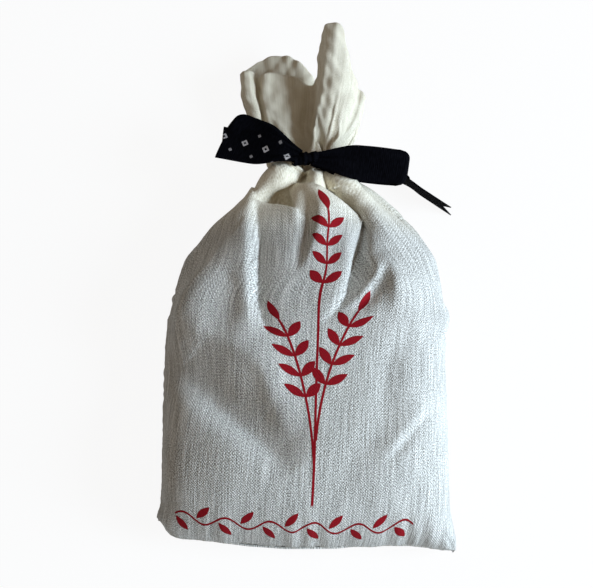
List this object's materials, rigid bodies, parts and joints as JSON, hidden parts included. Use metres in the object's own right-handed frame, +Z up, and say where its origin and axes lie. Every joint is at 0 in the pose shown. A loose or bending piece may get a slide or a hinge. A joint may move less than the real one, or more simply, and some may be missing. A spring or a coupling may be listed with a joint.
{
  "type": "lavender sachet",
  "caption": "Small cloth pouch filled with dried lavender, its gathered neck tied with a ribbon bow, lying on its back.",
  "frame": {"origin": "on the table, in the middle of the flat patch of the back panel that the filled bag lies on", "axes": "+X to the right of the printed front, +Y from the bottom seam to the mouth, +Z up, out of the printed front"},
  "size_m": [0.1101, 0.2009, 0.0362],
  "materials": {
    "calico": "unbleached plain weave with dark flecks, matt",
    "lavender": "loose dried flower buds, matt",
    "thread": "cotton sewing thread, matt",
    "ribbon": "black woven ribbon, matt to slightly silky"
  },
  "bodies": {
    "bag": {"front_panel": "calico", "back_panel": "calico", "lavender_filling": "lavender", "left_seam_thread": "thread", "right_seam_thread": "thread", "bottom_seam_thread": "thread", "front_hem_thread": "thread", "back_hem_thread": "thread", "ribbon_neck_wrap": "ribbon", "ribbon_knot": "ribbon"},
    "left_loop": {"ribbon_left_loop": "ribbon"},
    "left_end": {"ribbon_left_end": "ribbon"},
    "right_loop": {"ribbon_right_loop": "ribbon"},
    "right_end": {"ribbon_right_end": "ribbon"}
  },
  "joints": [
    {"name": "left_loop_lift", "type": "hinge", "parent": "bag", "child": "left_loop", "pos_m": [-0.00535, 0.08411, 0.034], "axis": [0.3665, 0.9304, 0], "range_deg": [0, 70]},
    {"name": "left_end_pull", "type": "slide", "parent": "left_loop", "child": "left_end", "axis": [-0.9671, 0.2233, -0.1219], "range_m": [0, 0.015]},
    {"name": "right_loop_lift", "type": "hinge", "parent": "bag", "child": "right_loop", "pos_m": [0.00574, 0.0817, 0.0314], "axis": [-0.0523, -0.9986, 0], "range_deg": [0, 70]},
    {"name": "right_end_pull", "type": "slide", "parent": "bag", "child": "right_end", "axis": [0.809, -0.5878, 0], "range_m": [0, 0.015]}
  ]
}
